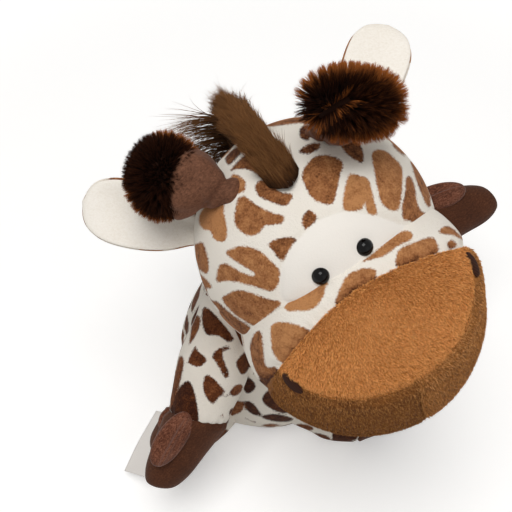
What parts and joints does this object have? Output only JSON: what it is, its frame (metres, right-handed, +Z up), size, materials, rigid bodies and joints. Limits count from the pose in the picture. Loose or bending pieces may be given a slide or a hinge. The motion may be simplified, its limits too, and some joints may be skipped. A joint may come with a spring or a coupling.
{
  "type": "plush giraffe",
  "caption": "Seated stuffed giraffe toy: big round patterned head with a wide tan muzzle, tufted horns, leaf ears, mane, floppy limbs with two-lobed hooves, and a tail.",
  "frame": {"origin": "centre of the flat seat panel, on the floor", "axes": "+Z up; -Y is the way the toy faces; +X is its own left"},
  "size_m": [0.2761, 0.2743, 0.3311],
  "materials": {
    "white_plush": "short pile, brown giraffe patches",
    "body_plush": "short pile, dark brown giraffe patches",
    "tan_plush": "brushed short pile",
    "chin_plush": "brushed short pile",
    "hoof_plush": "velour",
    "toe_plush": "velour",
    "mane_fur": "long fur",
    "stalk_plush": "velour",
    "tuft_fur": "dense fur",
    "eye_plastic": "glossy",
    "washer_plastic": "moulded",
    "nostril_thread": "satin stitch",
    "label_satin": "satin ribbon",
    "pouch_cloth": "woven",
    "panel_plush": "short pile"
  },
  "bodies": {
    "torso": {"torso": "body_plush", "seat_panel": "panel_plush", "pellet_pouch": "pouch_cloth", "neck": "body_plush", "mane_neck": "mane_fur"},
    "head": {"head": "white_plush", "snout": "white_plush", "muzzle": "tan_plush", "chin_left": "chin_plush", "chin_right": "chin_plush", "nostril_left": "nostril_thread", "nostril_right": "nostril_thread", "eye_left": "eye_plastic", "eye_right": "eye_plastic", "eye_washer_left": "washer_plastic", "eye_washer_right": "washer_plastic", "mane_head": "mane_fur"},
    "ear_left": {"ear_left": "tan_plush", "ear_lining_left": "white_plush"},
    "horn_left": {"horn_stalk_left": "stalk_plush", "horn_tuft_left": "tuft_fur"},
    "ear_right": {"ear_right": "tan_plush", "ear_lining_right": "white_plush"},
    "horn_right": {"horn_stalk_right": "stalk_plush", "horn_tuft_right": "tuft_fur"},
    "arm_left": {"arm_left": "body_plush", "arm_left_hoof": "hoof_plush", "arm_left_toe": "toe_plush"},
    "arm_right": {"arm_right": "body_plush", "arm_right_hoof": "hoof_plush", "arm_right_toe": "toe_plush"},
    "leg_left": {"leg_left": "body_plush", "leg_left_hoof": "hoof_plush", "leg_left_toe": "toe_plush"},
    "leg_right": {"leg_right": "body_plush", "leg_right_hoof": "hoof_plush", "leg_right_toe": "toe_plush", "care_label": "label_satin"},
    "tail": {"tail": "body_plush", "tail_tuft": "mane_fur"}
  },
  "joints": [
    {"name": "head_turn", "type": "hinge", "parent": "torso", "child": "head", "pos_m": [0.025, -0.013, 0.212], "axis": [0, 0, 1], "range_deg": [-15, 15]},
    {"name": "arm_left_lift", "type": "hinge", "parent": "torso", "child": "arm_left", "pos_m": [0.05082, 0.00556, 0.118], "axis": [-0.6018, 0.7986, 0], "range_deg": [-10, 15]},
    {"name": "arm_right_lift", "type": "hinge", "parent": "torso", "child": "arm_right", "pos_m": [-0.02761, -0.01396, 0.118], "axis": [0.9744, -0.225, 0], "range_deg": [-15, 1]},
    {"name": "leg_left_swing", "type": "hinge", "parent": "torso", "child": "leg_left", "pos_m": [0.02667, -0.04324, 0.0265], "axis": [0, 0, 1], "range_deg": [-12, 12]},
    {"name": "leg_right_swing", "type": "hinge", "parent": "torso", "child": "leg_right", "pos_m": [-0.02752, -0.02799, 0.0265], "axis": [0, 0, 1], "range_deg": [-12, 12]},
    {"name": "ear_left_flop", "type": "hinge", "parent": "head", "child": "ear_left", "pos_m": [0.04794, 0.04185, 0.24371], "axis": [-0.9442, 0.3152, 0.0953], "range_deg": [-12, 12]},
    {"name": "ear_right_flop", "type": "hinge", "parent": "head", "child": "ear_right", "pos_m": [-0.04227, -0.00956, 0.21402], "axis": [-0.2511, -0.7704, -0.5861], "range_deg": [-12, 12]},
    {"name": "horn_left_flop", "type": "hinge", "parent": "head", "child": "horn_left", "pos_m": [0.02343, 0.00968, 0.2757], "axis": [-0.9054, -0.2774, 0.3214], "range_deg": [-12, 12]},
    {"name": "horn_right_flop", "type": "hinge", "parent": "head", "child": "horn_right", "pos_m": [-0.02168, -0.01603, 0.26085], "axis": [-0.1498, -0.4125, -0.8986], "range_deg": [-12, 12]},
    {"name": "tail_swing", "type": "hinge", "parent": "torso", "child": "tail", "pos_m": [-0.00149, 0.06086, 0.046], "axis": [0, 0, 1], "range_deg": [-20, 20]}
  ]
}
